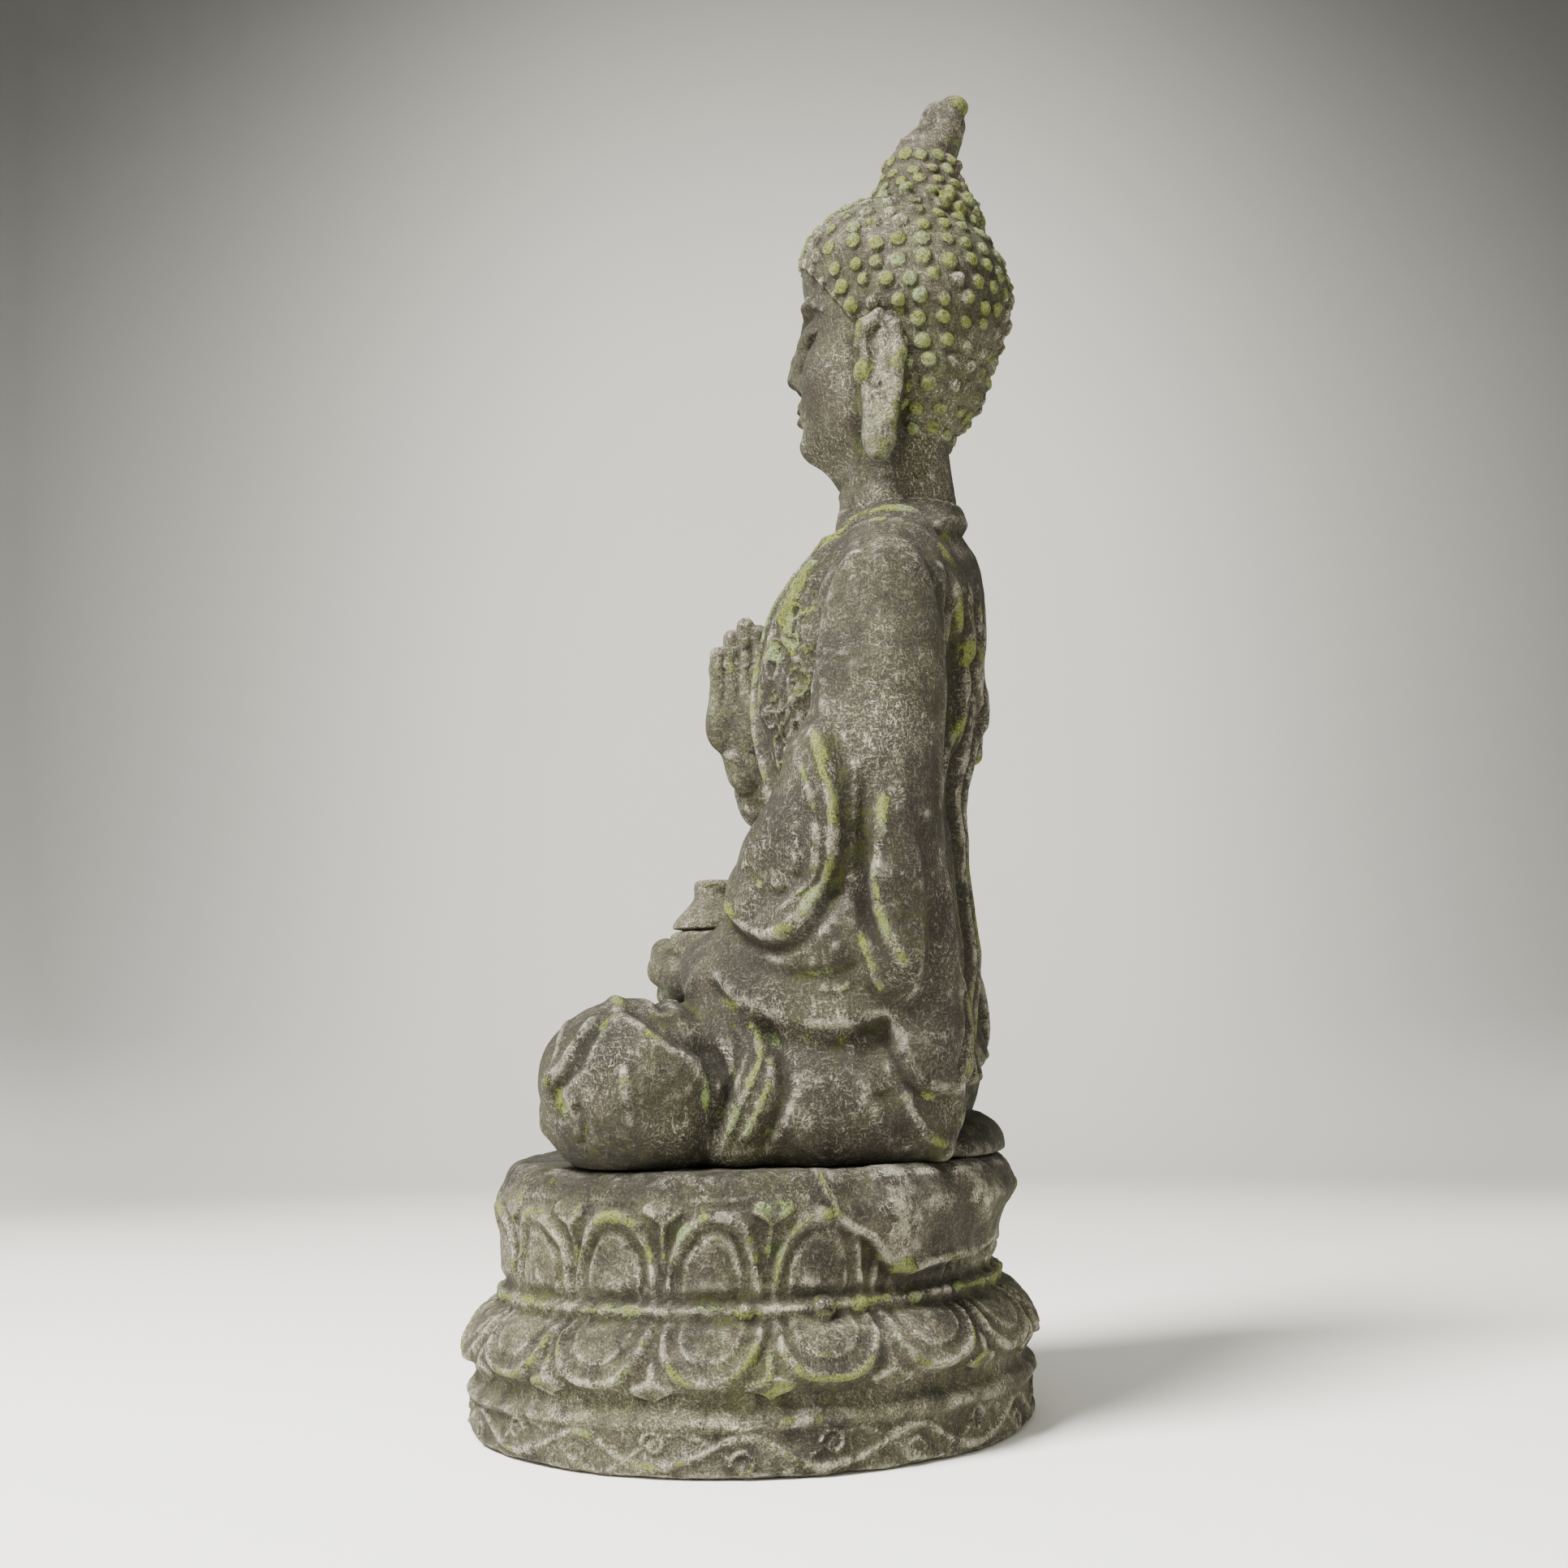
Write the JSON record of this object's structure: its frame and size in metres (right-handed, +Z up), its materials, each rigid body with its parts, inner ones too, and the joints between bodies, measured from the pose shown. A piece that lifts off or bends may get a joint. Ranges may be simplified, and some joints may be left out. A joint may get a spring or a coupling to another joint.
{
  "type": "garden buddha statue",
  "caption": "Seated stone buddha on a double lotus pedestal, one hand raised before the chest and a lidded jar held in the lap, pinned together in sections.",
  "frame": {"origin": "bottom centre of the plinth, on the ground", "axes": "+Z up, the figure faces -Y, and +X is the figure's left side"},
  "size_m": [0.4752, 0.436, 1],
  "materials": {
    "stone": "weathered, mossy carved stone",
    "mortar": "struck lime mortar",
    "steel": "plain stainless dowel",
    "bronze": "plain bronze pin"
  },
  "bodies": {
    "root": {"plinth": "stone", "plinth_bed": "mortar", "lower_lotus": "stone", "lower_waist_bed": "mortar", "bead_course": "stone", "upper_waist_bed": "mortar", "upper_lotus": "stone", "core_dowel": "steel", "seat_bed": "mortar", "legs": "stone", "seat_dowels": "steel", "torso_bed": "mortar", "torso": "stone", "torso_dowel": "steel", "elbow_dowels": "steel", "left_forearm": "stone", "left_hand": "stone", "right_forearm": "stone", "right_hand": "stone", "wrist_pins": "bronze", "jar": "stone", "jar_lid": "stone", "jar_pin": "bronze", "neck_bed": "mortar", "head": "stone", "neck_dowel": "steel", "topknot": "stone", "topknot_dowel": "steel", "finial": "stone", "finial_pin": "bronze"}
  },
  "joints": []
}
